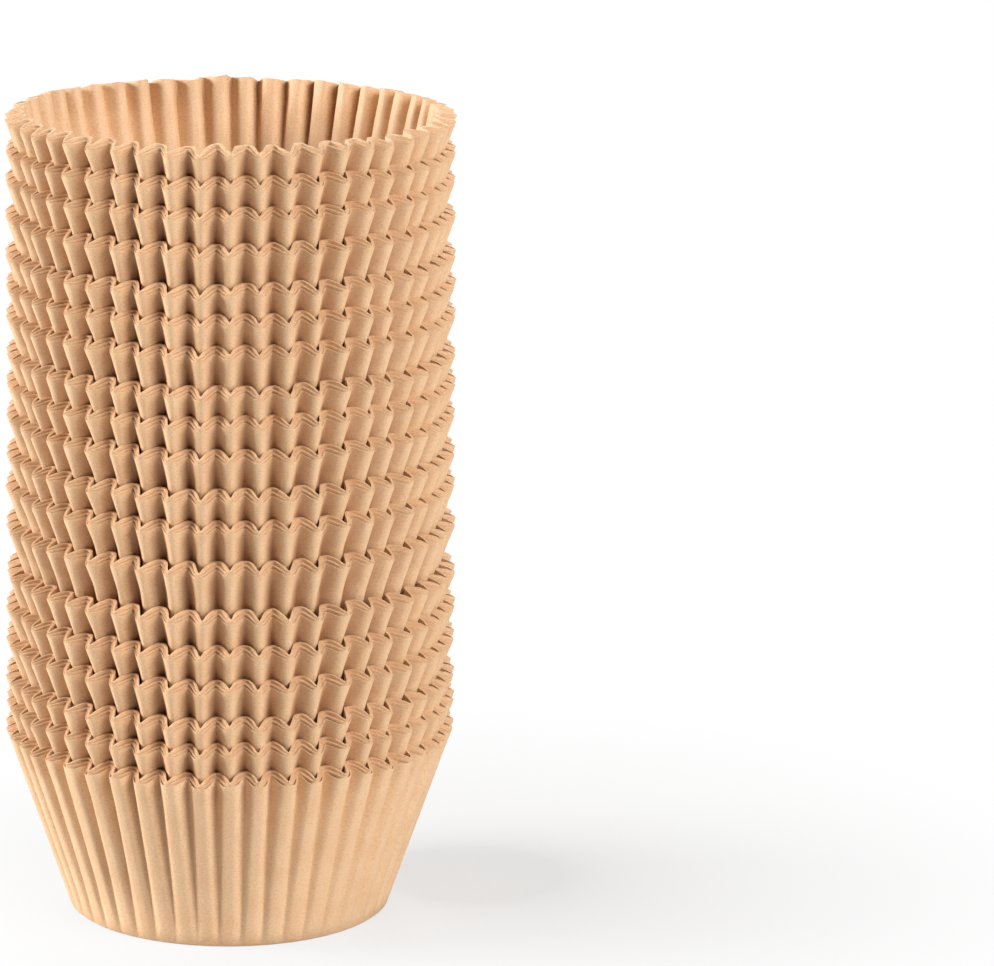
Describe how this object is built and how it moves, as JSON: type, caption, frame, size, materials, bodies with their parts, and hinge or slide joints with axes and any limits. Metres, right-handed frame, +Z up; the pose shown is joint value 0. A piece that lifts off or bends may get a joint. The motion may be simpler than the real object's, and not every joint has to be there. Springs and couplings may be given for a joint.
{
  "type": "stack of cupcake liners",
  "caption": "Tall stack of fluted kraft paper cupcake liners, nested in each other base down, with pleated walls and open at the top",
  "frame": {"origin": "centre of the lowest liner's base, on the surface it rests on", "axes": "+Z up along the stack, from the lowest base to the open rim; +X to the right as the picture sees it, -Y towards the viewer"},
  "size_m": [0.0714, 0.0714, 0.129],
  "materials": {
    "baking_paper": "matte"
  },
  "bodies": {
    "root": {"nest_01_outer_liner": "baking_paper", "nest_01_middle_liner": "baking_paper", "nest_01_inner_liner": "baking_paper", "nest_02_outer_liner": "baking_paper", "nest_02_middle_liner": "baking_paper", "nest_02_inner_liner": "baking_paper", "nest_03_outer_liner": "baking_paper", "nest_03_middle_liner": "baking_paper", "nest_03_inner_liner": "baking_paper", "nest_04_outer_liner": "baking_paper", "nest_04_middle_liner": "baking_paper", "nest_04_inner_liner": "baking_paper", "nest_05_outer_liner": "baking_paper", "nest_05_middle_liner": "baking_paper", "nest_05_inner_liner": "baking_paper", "nest_06_outer_liner": "baking_paper", "nest_06_middle_liner": "baking_paper", "nest_06_inner_liner": "baking_paper", "nest_07_outer_liner": "baking_paper", "nest_07_middle_liner": "baking_paper", "nest_07_inner_liner": "baking_paper", "nest_08_outer_liner": "baking_paper", "nest_08_middle_liner": "baking_paper", "nest_08_inner_liner": "baking_paper", "nest_09_outer_liner": "baking_paper", "nest_09_middle_liner": "baking_paper", "nest_09_inner_liner": "baking_paper", "nest_10_outer_liner": "baking_paper", "nest_10_middle_liner": "baking_paper", "nest_10_inner_liner": "baking_paper", "nest_11_outer_liner": "baking_paper", "nest_11_middle_liner": "baking_paper", "nest_11_inner_liner": "baking_paper", "nest_12_outer_liner": "baking_paper", "nest_12_middle_liner": "baking_paper", "nest_12_inner_liner": "baking_paper", "nest_13_outer_liner": "baking_paper", "nest_13_middle_liner": "baking_paper", "nest_13_inner_liner": "baking_paper", "nest_14_outer_liner": "baking_paper", "nest_14_middle_liner": "baking_paper", "nest_14_inner_liner": "baking_paper", "nest_15_outer_liner": "baking_paper", "nest_15_middle_liner": "baking_paper", "nest_15_inner_liner": "baking_paper", "nest_16_outer_liner": "baking_paper", "nest_16_middle_liner": "baking_paper", "nest_16_inner_liner": "baking_paper", "nest_17_outer_liner": "baking_paper", "nest_17_middle_liner": "baking_paper", "nest_17_inner_liner": "baking_paper", "nest_18_outer_liner": "baking_paper", "nest_18_middle_liner": "baking_paper", "nest_18_inner_liner": "baking_paper", "nest_19_outer_liner": "baking_paper", "nest_19_middle_liner": "baking_paper", "nest_19_inner_liner": "baking_paper"}
  },
  "joints": []
}
